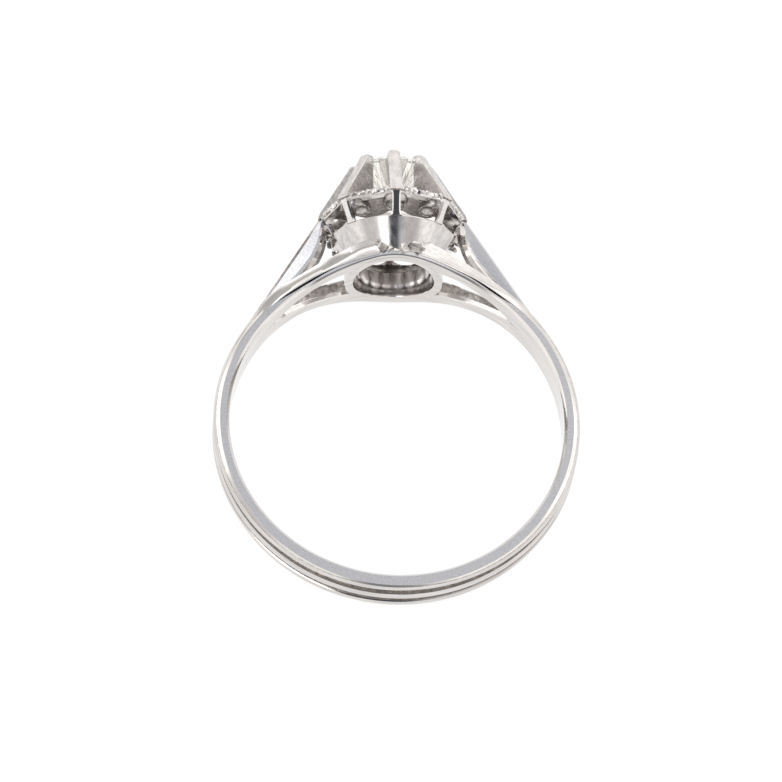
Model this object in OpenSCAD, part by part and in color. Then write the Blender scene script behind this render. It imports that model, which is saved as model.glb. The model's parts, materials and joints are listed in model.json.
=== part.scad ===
// Solitaire ring of the illusion type, lying on its side as it comes to rest.
// It is drawn upright first: X across the finger, Y along the finger, Z from the finger up to the stone,
// with the centre of the finger hole at the origin. Then it is laid down on its back, where it rests on the
// back corner of the plate and on the back edge of the shank.
// All lengths are in millimetres.

/* [Finger hole and shank] */
// Inside diameter of the finger hole
finger_d = 17.5; // [17:0.1:18]
// Thickness of the shank, from the finger to the top of its ridges
shank_t = 0.83; // [0.78:0.01:0.9]
// Width of the shank along the finger
shank_w = 2.4; // [2.3:0.05:2.5]
// Width of each of the two grooves between the three ridges
groove_w = 0.42; // [0.36:0.01:0.46]
// Depth of the grooves
groove_t = 0.22; // [0.1:0.01:0.25]
// Bevel at the top of each ridge
ridge_bevel = 0.12; // [0.05:0.01:0.15]

/* [Shoulders] */
// Thickness of the finger-side layer of the arms
layer_t = 0.33; // [0.25:0.01:0.45]
// Thickness of the arms with their raised strands
arm_t = 0.76; // [0.7:0.01:0.77]
// Angle from the top of the ring where the hoop ends and the arms take over
hoop_end_angle = 44; // [43.5:0.5:45]
// Thickness of each side leaf along the finger
leaf_w = 0.6; // [0.5:0.05:0.8]
// Width of each side leaf, across its length
leaf_t = 1; // [0.8:0.05:1]
// How far the leaf's outer edge stands outside the ridges of the shank
leaf_rise = 0.13; // [0.1:0.01:0.2]

/* [Finger gallery and collar] */
// Diameter of the hole under the stone
gallery_hole_d = 4.26; // [4:0.02:4.3]
// Outer diameter of the gallery ring
gallery_ring_d = 5.24; // [5.1:0.02:5.4]
// Height of the collar's lower edge above the centre of the finger hole
collar_z = 9.4; // [9.35:0.01:9.45]
// Height of the collar
collar_h = 1.55; // [1.45:0.05:1.65]
// Outer diameter of the collar at its lower edge
collar_low_d = 6; // [5.95:0.05:6.2]
// Outer diameter of the collar at its upper edge
collar_top_d = 6.5; // [6.4:0.05:6.6]
// Width of the collar over its flat sides, at its lower edge
collar_side_w = 5.3; // [5.2:0.05:5.6]

/* [Plate and claws] */
// Size of the plate over two opposite corners
plate_d = 7.94; // [7.8:0.02:8.1]
// Height of the plate's underside above the centre of the finger hole
plate_z = 12; // [11.9:0.05:12.1]
// Thickness of the plate
plate_t = 0.42; // [0.35:0.01:0.5]
// Width of each strut below the plate
strut_w = 0.5; // [0.4:0.02:0.6]
// Width of each claw
claw_w = 0.62; // [0.54:0.02:0.66]
// Height of the claw tips above the centre of the finger hole
claw_top_z = 15.36; // [15.3:0.02:15.5]

/* [Stone] */
// Diameter of the stone at its girdle
stone_d = 4; // [3.9:0.02:4.04]
// Height of the middle of the girdle above the centre of the finger hole
girdle_z = 14.9; // [14.85:0.01:14.95]
// Thickness of the girdle
girdle_t = 0.08; // [0.05:0.01:0.1]
// Width of the table, as a share of the diameter
table_share = 0.57; // [0.53:0.01:0.62]
// Angle of the crown's main facets
crown_angle = 34.5; // [32:0.5:36]
// Angle of the pavilion's main facets
pavilion_angle = 41; // [40:0.25:42]
// Gap between the stone and the claws that hold it
stone_gap = 0.05; // [0.04:0.01:0.07]

/* [Hidden] */

$fn = 96;
metal = "gainsboro";
glass = "azure";

// Overlap between shapes that are joined into one
joint = 0.15;

finger_r = finger_d / 2;
shank_r = finger_r + shank_t;
groove_r = shank_r - groove_t;
side_r = shank_r - ridge_bevel;
ridge_w = (shank_w - 2 * groove_w) / 3;
gallery_hole_r = gallery_hole_d / 2;
gallery_ring_r = gallery_ring_d / 2;
collar_low_r = collar_low_d / 2;
collar_top_r = collar_top_d / 2;
collar_wall = 0.4;
collar_top_z = collar_z + collar_h;
corner_count = 8;
plate_r = plate_d / 2;
plate_hole_r = 1;
plate_top_z = plate_z + plate_t;

// The lying ring touches the floor with the plate's back corner and the back edge of the shank:
// the slope between those two is its tilt
rest_tilt = atan((plate_r - shank_w / 2) / (plate_z + side_r));

// Plan of a shoulder, a row for each angle from the top of the ring. The columns are half widths along
// the finger: the edge of the finger-side layer, the gap inside it, and the two edges of the strand on it.
ANGLE = 0;
EDGE = 1;
GAP = 2;
STRAND_OUT = 3;
STRAND_IN = 4;
shoulder = [
    [0, 2.90, 1.32, 2.80, 2.14],
    [6, 2.78, 1.32, 2.68, 2.02],
    [11, 2.52, 1.32, 2.42, 1.80],
    [16, 2.24, 1.32, 2.14, 1.54],
    [21, 1.98, 1.16, 1.86, 1.28],
    [26, 1.76, 0.95, 1.62, 1.04],
    [31, 1.55, 0.72, 1.40, 0.83],
    [36, 1.41, 0.48, 1.26, 0.69],
    [40, 1.32, 0.28, 1.19, 0.64],
    [43, 1.24, 0.08, 1.15, 0.63],
    [52, 1.10, 0.00, 1.06, 0.70],
];

// The gap runs from inside the gallery ring's wall to its tip, between these rows of the table
gap_first = 3;
gap_last = 9;
gap_start_x = gallery_ring_r - 0.6;

function forward(column, x_side, y_side) =
    [for (row = shoulder) [x_side * finger_r * sin(row[ANGLE]), y_side * row[column]]];
function backward(points) = [for (i = [len(points) - 1:-1:0]) points[i]];
function after_first(points) = [for (i = [1:len(points) - 1]) points[i]];

// Plan of both shoulders together, without the gaps
layer_plan = concat(
    forward(EDGE, 1, 1),
    backward(forward(EDGE, 1, -1)),
    after_first(forward(EDGE, -1, -1)),
    backward(after_first(forward(EDGE, -1, 1)))
);

// Plan of one gap, on the right
gap_plan = concat(
    [[gap_start_x, shoulder[gap_first][GAP]]],
    [for (i = [gap_first:gap_last]) [finger_r * sin(shoulder[i][ANGLE]), shoulder[i][GAP]]],
    [for (i = [gap_last:-1:gap_first]) [finger_r * sin(shoulder[i][ANGLE]), -shoulder[i][GAP]]],
    [[gap_start_x, -shoulder[gap_first][GAP]]]
);

// Plan of the strand at the back, from the left end of the hoop to the right
strand_plan = concat(
    backward(forward(STRAND_OUT, -1, 1)),
    after_first(forward(STRAND_OUT, 1, 1)),
    backward(forward(STRAND_IN, 1, 1)),
    after_first(forward(STRAND_IN, -1, 1))
);

module both_sides_of_x() {
    children();
    mirror([1, 0, 0]) children();
}

module both_sides_of_y() {
    children();
    mirror([0, 1, 0]) children();
}

module at_each_corner() {
    for (i = [0:corner_count - 1])
        rotate([0, 0, i * 360 / corner_count]) children();
}

// An upright slab along +X, from an outline of distances from the stone's axis and heights
module upright(thickness) {
    rotate([90, 0, 0])
        translate([0, 0, -thickness / 2])
            linear_extrude(thickness) children();
}

// Part of a tube round the finger, cut to a plan seen from the stone. The finger hole is cut out later.
module bent_to_finger(outer_r) {
    last_angle = shoulder[len(shoulder) - 1][ANGLE];
    spare = 1;
    low_z = finger_r * cos(last_angle) - spare;
    intersection() {
        rotate([90, 0, 0]) cylinder(h = 4 * shank_w, r = outer_r, center = true);
        translate([0, 0, low_z]) linear_extrude(outer_r) children();
    }
}

// Section of the hoop: distance from the finger's axis, and distance along the finger
module shank_section() {
    inner = finger_r - joint;
    middle = ridge_w / 2;
    half_w = shank_w / 2;
    ridge_in = half_w - ridge_w;
    half = [
        [groove_r, middle],
        [groove_r, ridge_in],
        [shank_r, ridge_in + ridge_bevel],
        [shank_r, half_w - ridge_bevel],
        [side_r, half_w],
        [inner, half_w],
    ];
    polygon(concat(
        [[shank_r, middle - ridge_bevel]],
        half,
        [for (p = backward(half)) [p[0], -p[1]]],
        [[shank_r, ridge_bevel - middle]]
    ));
}

// The hoop with its three ridges, open at the top where the shoulders take over
module shank() {
    far = 2 * shank_r;
    difference() {
        rotate([90, 0, 0]) rotate_extrude() shank_section();
        upright(2 * shank_w)
            polygon([
                [0, 0],
                [far * sin(hoop_end_angle), far * cos(hoop_end_angle)],
                [-far * sin(hoop_end_angle), far * cos(hoop_end_angle)],
            ]);
    }
}

// Finger-side layer of the arms: a flared band with a long three-cornered gap on each side of the gallery
module arm_layer() {
    bent_to_finger(finger_r + layer_t)
        difference() {
            polygon(layer_plan);
            both_sides_of_x() polygon(gap_plan);
        }
}

// Raised strands along the front and the back of the arms, which carry on the hoop's outer ridges
module arm_strands() {
    both_sides_of_y()
        bent_to_finger(finger_r + arm_t) polygon(strand_plan);
}

// Side leaf: the middle ridge thickens, leaves the hoop and runs straight up to the plate's side corner
module side_leaf() {
    // Angle over which it comes out of the hoop, its width at the plate, and its reach down the collar
    blend_angle = 12;
    top_w = 0.3;
    foot_h = 0.7;
    outer_r = shank_r + leaf_rise;
    inner_r = outer_r - leaf_t;
    root_r = finger_r + 0.2;
    top = [plate_r - 0.02, plate_z + 0.1];
    slope_angle = atan(top[0] / top[1]) + acos(outer_r / norm(top));
    start_angle = slope_angle + blend_angle;
    inner_angle = slope_angle - acos(inner_r / root_r);
    foot_z = collar_top_z - foot_h;
    corner_z = foot_z + 0.2;
    corner_x = (inner_r - corner_z * cos(slope_angle)) / sin(slope_angle);
    in_collar_x = collar_side_w / 2 + 0.2;
    upright(leaf_w)
        polygon([
            [root_r * sin(start_angle), root_r * cos(start_angle)],
            [side_r * sin(start_angle), side_r * cos(start_angle)],
            [outer_r * sin(slope_angle), outer_r * cos(slope_angle)],
            top,
            [top[0] - top_w, top[1]],
            [collar_top_r - 0.1, collar_top_z - 0.1],
            [in_collar_x, foot_z],
            [corner_x, corner_z],
            [root_r * sin(inner_angle), root_r * cos(inner_angle)],
        ]);
}

// Ring round the hole under the stone
module finger_gallery() {
    low_z = finger_r - 1;
    translate([0, 0, low_z])
        cylinder(h = collar_z + joint - low_z, r = gallery_ring_r);
}

// Plain tapered band that the struts stand on, wide inside at the top, with a flat on each side
module collar() {
    margin = 0.2;
    side_x = collar_side_w / 2;
    side_slope = (collar_top_r - side_x) / collar_h;
    intersection() {
        rotate_extrude()
            polygon([
                [0, collar_z],
                [collar_low_r, collar_z],
                [collar_top_r, collar_top_z],
                [collar_top_r - collar_wall, collar_top_z],
                [gallery_hole_r, collar_z + joint],
                [0, collar_z + joint],
            ]);
        upright(2 * collar_top_d)
            polygon([
                [side_x - margin * side_slope, collar_z - margin],
                [collar_top_r + margin * side_slope, collar_top_z + margin],
                [-collar_top_r - margin * side_slope, collar_top_z + margin],
                [margin * side_slope - side_x, collar_z - margin],
            ]);
    }
}

// Sloping post from the collar's upper edge out to a corner of the plate, with a flared foot
module strut() {
    strut_t = 0.4;
    foot_flare = 0.2;
    set_in = 0.1;
    upright(strut_w)
        polygon([
            [collar_top_r - 2 * joint, collar_top_z - joint],
            [collar_top_r - 0.04, collar_top_z - joint],
            [collar_top_r + foot_flare, collar_top_z],
            [plate_r - set_in, plate_z + joint],
            [plate_r - set_in - strut_t, plate_z + joint],
            [collar_top_r - joint, collar_top_z],
        ]);
}

// Eight-cornered plate round the stone
module plate() {
    difference() {
        translate([0, 0, plate_z]) cylinder(h = plate_t, r = plate_r, $fn = corner_count);
        cylinder(h = 2 * plate_top_z, r = plate_hole_r);
    }
}

// Three-cornered claw on a corner of the plate, with a seat for the girdle and a tip over the crown
module claw() {
    // How far the seat and the tip reach under and over the stone, and the tip's thickness and bevels
    seat_reach = 0.15;
    tip_reach = 0.28;
    tip_t = 0.27;
    outer_bevel = 0.12;
    inner_bevel = 0.08;
    stone_r = stone_d / 2;
    half_girdle = girdle_t / 2;
    foot_r = plate_r - 0.04;
    gap_r = stone_r + stone_gap;
    inner_r = stone_r - seat_reach;
    tip_r = stone_r - tip_reach;
    under = girdle_z - half_girdle - stone_gap / cos(pavilion_angle);
    over = girdle_z + half_girdle + stone_gap / cos(crown_angle);
    upright(claw_w)
        polygon([
            [inner_r, plate_top_z - joint],
            [foot_r, plate_z + 0.06],
            [foot_r, plate_top_z],
            [stone_r + tip_t, claw_top_z - outer_bevel],
            [stone_r + tip_t - outer_bevel, claw_top_z],
            [tip_r + inner_bevel, claw_top_z],
            [tip_r, claw_top_z - inner_bevel],
            [tip_r, over + tip_reach * tan(crown_angle)],
            [gap_r, over - stone_gap * tan(crown_angle)],
            [gap_r, under + stone_gap * tan(pavilion_angle)],
            [inner_r, under - seat_reach * tan(pavilion_angle)],
        ]);
}

// All the soldered metal, one solid
module ring_mounting() {
    color(metal)
        difference() {
            union() {
                shank();
                arm_layer();
                arm_strands();
                both_sides_of_x() side_leaf();
                finger_gallery();
                collar();
                at_each_corner() strut();
                plate();
                at_each_corner() claw();
            }
            rotate([90, 0, 0]) cylinder(h = 6 * shank_w, r = finger_r, center = true);
            cylinder(h = collar_top_z, r = gallery_hole_r);
        }
}

// Points of the stone at one of its levels, a row of eight round the axis
function stone_row(radius, z, start) =
    [for (i = [0:corner_count - 1])
        let (a = start + i * 360 / corner_count) [radius * cos(a), radius * sin(a), z]];

// Round brilliant: table, eight stars, eight kites and sixteen upper halves on the crown, and eight mains
// and sixteen lower halves on the pavilion
module diamond() {
    count = corner_count;
    step = 180 / count;
    lower_share = 0.24;
    stone_r = stone_d / 2;
    table_r = stone_r * table_share;
    crown_z = girdle_z + girdle_t / 2;
    pavilion_z = girdle_z - girdle_t / 2;
    table_z = crown_z + (stone_r - table_r) * tan(crown_angle);
    culet_z = pavilion_z - stone_r * tan(pavilion_angle);
    star_r = (table_r + stone_r) / 2;
    star_z = crown_z + (stone_r - star_r * cos(step)) * tan(crown_angle);
    lower_r = stone_r * lower_share;
    lower_z = culet_z + lower_r * cos(step) * tan(pavilion_angle);

    // Rows of points, each of eight: table, stars, upper girdle, lower girdle, lower halves, then the culet
    table = 0;
    star = count;
    top_main = 2 * count;
    top_half = 3 * count;
    low_main = 4 * count;
    low_half = 5 * count;
    lower = 6 * count;
    culet = 7 * count;
    points = concat(
        stone_row(table_r, table_z, 0),
        stone_row(star_r, star_z, step),
        stone_row(stone_r, crown_z, 0),
        stone_row(stone_r, crown_z, step),
        stone_row(stone_r, pavilion_z, 0),
        stone_row(stone_r, pavilion_z, step),
        stone_row(lower_r, lower_z, step),
        [[0, 0, culet_z]]
    );
    sides = [for (i = [0:count - 1]) each
        let (n = (i + 1) % count, p = (i + count - 1) % count) [
            [table + n, star + i, table + i],
            [star + i, top_main + i, star + p, table + i],
            [top_half + i, top_main + i, star + i],
            [top_main + n, top_half + i, star + i],
            [top_half + i, low_half + i, low_main + i, top_main + i],
            [top_main + n, low_main + n, low_half + i, top_half + i],
            [low_half + i, lower + i, low_main + i],
            [low_main + n, lower + i, low_half + i],
            [lower + i, culet, lower + p, low_main + i],
        ]];
    color(glass)
        polyhedron(points, concat([[for (i = [count - 1:-1:0]) table + i]], sides));
}

// Laid down on its back
module laid_down() {
    rotate([rest_tilt - 90, 0, 0]) children();
}

laid_down() ring_mounting();
laid_down() diamond();
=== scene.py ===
"""Solitaire ring with an illusion head: its meshes and finishes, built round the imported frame."""
import json
import math
import random

import bmesh
import bpy
from bpy.props import FloatProperty, FloatVectorProperty, PointerProperty
from bpy.types import Operator, Panel, PropertyGroup
from mathutils import Matrix, Vector


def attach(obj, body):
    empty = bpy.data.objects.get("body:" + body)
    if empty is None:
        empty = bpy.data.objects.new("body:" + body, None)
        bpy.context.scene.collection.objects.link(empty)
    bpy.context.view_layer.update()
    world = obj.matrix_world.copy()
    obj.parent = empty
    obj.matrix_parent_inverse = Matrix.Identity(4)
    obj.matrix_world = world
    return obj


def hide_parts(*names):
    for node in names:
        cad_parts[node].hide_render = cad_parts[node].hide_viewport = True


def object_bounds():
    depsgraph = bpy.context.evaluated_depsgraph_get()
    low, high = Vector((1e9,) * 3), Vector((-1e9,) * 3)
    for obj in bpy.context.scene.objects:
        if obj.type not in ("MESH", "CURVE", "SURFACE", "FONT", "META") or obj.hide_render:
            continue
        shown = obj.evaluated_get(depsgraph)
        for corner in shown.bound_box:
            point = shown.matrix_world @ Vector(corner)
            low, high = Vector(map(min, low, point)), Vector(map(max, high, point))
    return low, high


bl_info = {
    "name": "Illusion solitaire ring",
    "version": (1, 0, 0),
    "blender": (4, 5, 0),
    "location": "3D View > Sidebar > Ring",
    "description": "Builds the shank, shoulders, head and stone of a solitaire ring round its packed frame",
    "category": "Object",
}

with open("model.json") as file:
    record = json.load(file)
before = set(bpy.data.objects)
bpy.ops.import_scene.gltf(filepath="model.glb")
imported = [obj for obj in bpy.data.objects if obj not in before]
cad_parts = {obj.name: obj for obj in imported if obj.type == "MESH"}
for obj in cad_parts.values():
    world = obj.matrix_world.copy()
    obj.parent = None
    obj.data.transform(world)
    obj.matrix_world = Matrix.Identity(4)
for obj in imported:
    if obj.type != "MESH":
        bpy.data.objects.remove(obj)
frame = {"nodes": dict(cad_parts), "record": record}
CAD_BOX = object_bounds()

# The finger hole gives the upright ring: X across the finger, Y along it, Z from the finger to the stone.
# Sizes are in millimetres there, and one matrix lays each finished mesh down in the row frame.
MM = 0.001
HOLE = frame["record"]["mounts"][0]
FINGER_R = HOLE["dims"]["r_mm"]
REST_TILT = math.atan2(-HOLE["axis"][1], HOLE["axis"][2])
LYING = Matrix.Rotation(REST_TILT - math.pi / 2, 4, "X")
LAID_DOWN = LYING @ Matrix.Scale(MM, 4)
CORNERS = 8

# A band is one outer ridge with the arm that it flares into, alike in front and at the back. A row starts
# with an angle in degrees from the top of the ring. The sizes that follow are in millimetres, the depths
# counted back from the front face and the heights up from the finger:
#   front: place of the front face along the finger
#   seam: height of the seam between the arm's finger-side layer and its strand
#   cut: height of the cut that opens there
#   flat_h: height of the flat face's upper edge
#   face_t, face_h: depth and height of the sloping face's upper edge
#   top_t, top_h: depth and height of the top facet's upper edge
#   inner: place of the strand's inner edge
#   gap: place of the edge of the gap between the arms
#   ground: height of the low ground between the strand and the gap
HOOP = (
    (50, 1.22, 0.30, 0, 0.45, 0.17, 0.66, 0.29, 0.82, 0.70, 0, 0.60),
    (60, 1.20, 0.30, 0, 0.47, 0.15, 0.66, 0.30, 0.80, 0.70, 0, 0.60),
    (115, 1.20, 0.30, 0, 0.50, 0.13, 0.67, 0.29, 0.80, 0.70, 0, 0.60),
    (145, 1.20, 0.30, 0, 0.62, 0.07, 0.70, 0.18, 0.79, 0.70, 0, 0.60),
    (180, 1.20, 0.30, 0, 0.66, 0.05, 0.72, 0.15, 0.79, 0.70, 0, 0.60),
)
LEFT_BAND = (
    (0, 2.88, 0.28, 0.02, 0.30, 0.02, 0.33, 0.05, 0.36, 2.10, 1.32, 0.30),
    (4.6, 2.80, 0.28, 0.02, 0.30, 0.02, 0.33, 0.05, 0.36, 2.05, 1.32, 0.30),
    (6.4, 2.72, 0.13, 0.02, 0.15, 0.06, 0.78, 0.13, 1.16, 1.98, 1.32, 0.30),
    (10, 2.53, 0.14, 0.02, 0.16, 0.06, 0.78, 0.13, 1.16, 1.80, 1.32, 0.30),
    (15, 2.26, 0.18, 0.02, 0.20, 0.08, 0.68, 0.20, 1.06, 1.58, 1.30, 0.30),
    (20, 2.01, 0.23, 0.03, 0.25, 0.10, 0.60, 0.27, 0.98, 1.36, 1.18, 0.30),
    (25, 1.78, 0.27, 0.08, 0.29, 0.10, 0.56, 0.26, 0.95, 1.14, 0.98, 0.30),
    (30, 1.57, 0.31, 0.13, 0.33, 0.10, 0.59, 0.26, 0.94, 0.96, 0.76, 0.31),
    (35, 1.43, 0.34, 0.13, 0.36, 0.10, 0.63, 0.26, 0.96, 0.84, 0.52, 0.34),
    (40, 1.35, 0.37, 0.07, 0.39, 0.11, 0.66, 0.27, 0.97, 0.76, 0.27, 0.37),
    (44, 1.29, 0.38, 0, 0.42, 0.13, 0.68, 0.28, 0.93, 0.72, 0.05, 0.42),
) + HOOP
RIGHT_BAND = (
    (0, 2.88, 0.28, 0.02, 0.30, 0.02, 0.33, 0.05, 0.36, 2.10, 1.32, 0.30),
    (7.2, 2.70, 0.28, 0.02, 0.30, 0.02, 0.33, 0.05, 0.36, 1.95, 1.32, 0.30),
    (9, 2.60, 0.20, 0.02, 0.22, 0.02, 0.30, 0.15, 1.16, 1.85, 1.32, 0.30),
    (14, 2.32, 0.20, 0.02, 0.22, 0.02, 0.29, 0.19, 1.08, 1.60, 1.31, 0.30),
    (20, 2.00, 0.19, 0.03, 0.21, 0.02, 0.28, 0.26, 0.98, 1.36, 1.18, 0.30),
    (25, 1.80, 0.22, 0.05, 0.24, 0.03, 0.31, 0.27, 0.88, 1.14, 0.98, 0.30),
    (30, 1.62, 0.26, 0.10, 0.28, 0.04, 0.36, 0.28, 0.84, 0.96, 0.76, 0.30),
    (34, 1.50, 0.27, 0.12, 0.29, 0.07, 0.46, 0.28, 0.82, 0.86, 0.57, 0.30),
    (38, 1.40, 0.29, 0.10, 0.31, 0.10, 0.60, 0.28, 0.82, 0.79, 0.39, 0.33),
    (41, 1.34, 0.32, 0.05, 0.34, 0.12, 0.68, 0.28, 0.84, 0.75, 0.20, 0.36),
    (44, 1.29, 0.36, 0, 0.40, 0.14, 0.70, 0.29, 0.86, 0.72, 0.05, 0.42),
) + HOOP

# The bands' inner edges follow a circle here, inside the gallery ring's wall
HOLE_EDGE_R = 2.4

# Width of a side leaf's flat face, by the distance in millimetres from its upper end
LEAF_FACE = (
    (0, 0.22), (0.3, 0.36), (0.9, 0.68), (1.5, 0.86), (2.2, 0.95),
    (3.0, 0.90), (4.0, 0.76), (6.0, 0.40), (8.3, 0.16),
)

# Bright cuts, cuts made dark with painted shade, and drops of solder: seed, centre and half sizes in
# millimetres on the upright ring
BRIGHT_CUTS = (
    (1, (-0.98, -2.80, 9.56), (0.26, 0.20, 0.20)),
    (3, (-0.36, -2.94, 9.14), (0.22, 0.16, 0.30)),
    (4, (0.40, -2.96, 9.16), (0.34, 0.20, 0.36)),
    (5, (1.02, -2.94, 9.26), (0.38, 0.20, 0.32)),
    (6, (1.56, -2.78, 9.44), (0.38, 0.20, 0.24)),
    (7, (0.02, -2.84, 9.02), (0.22, 0.16, 0.18)),
    (11, (-3.58, -0.34, 11.28), (0.40, 0.34, 0.56)),
    (13, (3.58, -0.36, 11.42), (0.34, 0.30, 0.42)),
    (15, (3.12, -0.48, 10.50), (0.18, 0.18, 0.24)),
)
SHADED_CUTS = (
    (2, (-0.72, -2.90, 9.20), (0.30, 0.20, 0.36)),
    (9, (1.24, -2.92, 9.04), (0.26, 0.16, 0.16)),
    (12, (-3.28, -0.44, 10.72), (0.18, 0.18, 0.26)),
    (14, (3.34, -0.44, 10.92), (0.22, 0.20, 0.30)),
)

# Round patches of the studio's walls, each painted over the last: degrees from the head's side towards the
# right, degrees up, radius of the patch and of its soft edge in degrees, brightness, and tint
PLAIN = (1.0, 1.0, 1.0)
PATCHES = (
    (-36, 46, 10, 18, 1.8, PLAIN),
    (-66, 22, 12, 24, 1.8, PLAIN),
    (-32, 21, 7, 14, 0.62, (1.0, 0.99, 0.98)),
    (-72, 62, 12, 30, 0.80, (0.99, 0.99, 1.02)),
    (72, 62, 12, 30, 0.96, (1.03, 0.99, 0.97)),
    (-60, 76, 3, 9, 1.6, PLAIN),
    (34, 40, 8, 22, 1.55, PLAIN),
    (78, 24, 10, 28, 1.6, PLAIN),
    (-108, 36, 6, 22, 0.80, (1.0, 0.98, 0.99)),
    (112, 50, 6, 22, 0.66, (1.03, 0.98, 0.98)),
    (180, 4, 16, 36, 0.34, PLAIN),
)


def linear(code):
    """An sRGB hex value as a linear colour with alpha."""
    channels = [int(code[i:i + 2], 16) / 255 for i in (0, 2, 4)]
    return [c / 12.92 if c <= 0.04045 else ((c + 0.055) / 1.055) ** 2.4 for c in channels] + [1.0]


class RingSizes(PropertyGroup):
    """Sizes of the upright ring in millimetres, with heights counted from the finger hole's axis"""

    shank_t: FloatProperty(name="Shank", description="Thickness up to the ridges", default=0.83)
    leaf_w: FloatProperty(name="Leaf", description="Thickness along the finger", default=0.6)
    hole_d: FloatProperty(name="Gallery hole", description="Diameter under the stone", default=4.26)
    gallery_d: FloatProperty(name="Gallery ring", description="Outer diameter", default=5.24)
    collar_z: FloatProperty(name="Collar", description="Height of its lower edge", default=9.4)
    collar_h: FloatProperty(name="Collar depth", description="From its lower to its upper edge", default=1.55)
    collar_top_d: FloatProperty(name="Collar, upper", description="Diameter at the upper edge", default=6.5)
    plate_d: FloatProperty(name="Plate", description="Size of the plate over two corners", default=7.94)
    plate_z: FloatProperty(name="Plate height", description="Of its underside", default=12)
    plate_t: FloatProperty(name="Plate thickness", description="Of the illusion plate", default=0.42)
    strut_w: FloatProperty(name="Strut width", description="Of each strut below the plate", default=0.5)
    claw_w: FloatProperty(name="Claw width", description="Of each claw", default=0.66)
    claw_top_z: FloatProperty(name="Claw height", description="Of the tips", default=15.36)
    stone_d: FloatProperty(name="Stone", description="Diameter at the girdle", default=4)
    girdle_z: FloatProperty(name="Stone height", description="Of the girdle", default=14.9)


class RingColours(PropertyGroup):
    """Colours of the metal's finishes, the stone and the floor"""

    polished: FloatVectorProperty(
        name="Polished white gold", description="Of the hoop, the arms and the struts",
        subtype="COLOR", size=4, min=0, max=1, default=linear("E0DCD9"),
    )
    satin: FloatVectorProperty(
        name="Satin white gold", description="Of the flat faces",
        subtype="COLOR", size=4, min=0, max=1, default=linear("D6D6D9"),
    )
    brushed: FloatVectorProperty(
        name="Brushed white gold", description="Of the collar and the claws",
        subtype="COLOR", size=4, min=0, max=1, default=linear("DDD9D7"),
    )
    # Darker copy of the metal with painted shade, for the grooves and the inside of the head
    cast: FloatVectorProperty(
        name="Cast white gold", description="Of the grooves and the inside of the head",
        subtype="COLOR", size=4, min=0, max=1, default=linear("C8C2BD"),
    )
    # Greyer copy of the metal with painted shade, for the claws' flanks, the plate's lobes and the leaves'
    # edges
    shaded_filed: FloatVectorProperty(
        name="Filed white gold", description="Of the claws' flanks and the leaves' edges",
        subtype="COLOR", size=4, min=0, max=1, default=linear("CFCBC8"),
    )
    stone: FloatVectorProperty(
        name="Diamond", description="Of the stone",
        subtype="COLOR", size=4, min=0, max=1, default=linear("FFFDF6"),
    )
    floor: FloatVectorProperty(
        name="Floor", description="Under the ring",
        subtype="COLOR", size=4, min=0, max=1, default=linear("FFFFFF"),
    )


def looked_up(table, place):
    """A table's sizes at a place in its first column, on smooth curves through its rows."""
    places = [row[0] for row in table]
    place = min(max(place, places[0]), places[-1])
    k = max(i for i in range(len(table) - 1) if places[i] <= place)
    span = places[k + 1] - places[k]
    t = (place - places[k]) / span

    def size(column):
        def slope(i):
            """The curve's slope at a row: none where the sizes turn back, so that it never overshoots."""
            if i in (0, len(table) - 1):
                return 0.0
            before = (table[i][column] - table[i - 1][column]) / (places[i] - places[i - 1])
            after = (table[i + 1][column] - table[i][column]) / (places[i + 1] - places[i])
            return 0.0 if before * after <= 0 else 2 * before * after / (before + after)

        return (
            table[k][column] * (1 + 2 * t) * (1 - t) ** 2
            + table[k + 1][column] * t * t * (3 - 2 * t)
            + span * (slope(k) * t * (1 - t) ** 2 - slope(k + 1) * t * t * (1 - t))
        )

    return [size(column) for column in range(1, len(table[0]))]


def on_ring(angle, height, y):
    """A point at an angle from the top of the ring, a height above the finger and a place along it."""
    a = math.radians(angle)
    r = FINGER_R + height
    return Vector((r * math.sin(a), y, r * math.cos(a)))


def round_stone(r, a, z):
    """A point at a distance from the stone's axis, turned about it by an angle in radians, at a height."""
    return Vector((r * math.cos(a), r * math.sin(a), z))


# Meshes

def skin(bm, rows, closed=False, finishes=None):
    """Skins a row of sections, each a closed loop of points. Finishes gives a side its material's number."""
    loops = [[bm.verts.new(p) for p in row] for row in rows]
    count = len(loops[0])
    for k in range(len(loops) if closed else len(loops) - 1):
        a, b = loops[k], loops[(k + 1) % len(loops)]
        for i in range(count):
            j = (i + 1) % count
            face = bm.faces.new((a[i], a[j], b[j], b[i]))
            face.material_index = (finishes or {}).get(i, 0)
    if not closed:
        bm.faces.new(loops[0])
        bm.faces.new(list(reversed(loops[-1])))


def finish_mesh(bm, name, sharp=30, laid=True):
    """Merges doubles, points faces outwards, marks sharp edges, lays the mesh down and makes its object."""
    bmesh.ops.remove_doubles(bm, verts=bm.verts, dist=1e-5)
    bmesh.ops.recalc_face_normals(bm, faces=bm.faces)
    for face in bm.faces:
        face.smooth = True
    limit = math.radians(sharp)
    for edge in bm.edges:
        edge.smooth = edge.calc_face_angle(0) < limit
    if laid:
        bm.transform(LAID_DOWN)
    mesh = bpy.data.meshes.new(name)
    bm.to_mesh(mesh)
    bm.free()
    obj = bpy.data.objects.new(name, mesh)
    bpy.context.scene.collection.objects.link(obj)
    return obj


def applied(obj):
    """Turns the evaluated piece into a plain mesh."""
    graph = bpy.context.evaluated_depsgraph_get()
    mesh = bpy.data.meshes.new_from_object(obj.evaluated_get(graph))
    obj.modifiers.clear()
    old = obj.data
    obj.data = mesh
    bpy.data.meshes.remove(old)
    mesh.name = obj.name
    return obj


def bevelled(obj, width, segments, angle):
    """Rounds the edges of a piece that are sharper than an angle, by a width in millimetres, for good."""
    modifier = obj.modifiers.new("Edges", "BEVEL")
    modifier.width = width * MM
    modifier.segments = segments
    modifier.limit_method = "ANGLE"
    modifier.angle_limit = math.radians(angle)
    modifier.harden_normals = True
    modifier.use_clamp_overlap = True
    return applied(obj)


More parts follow.
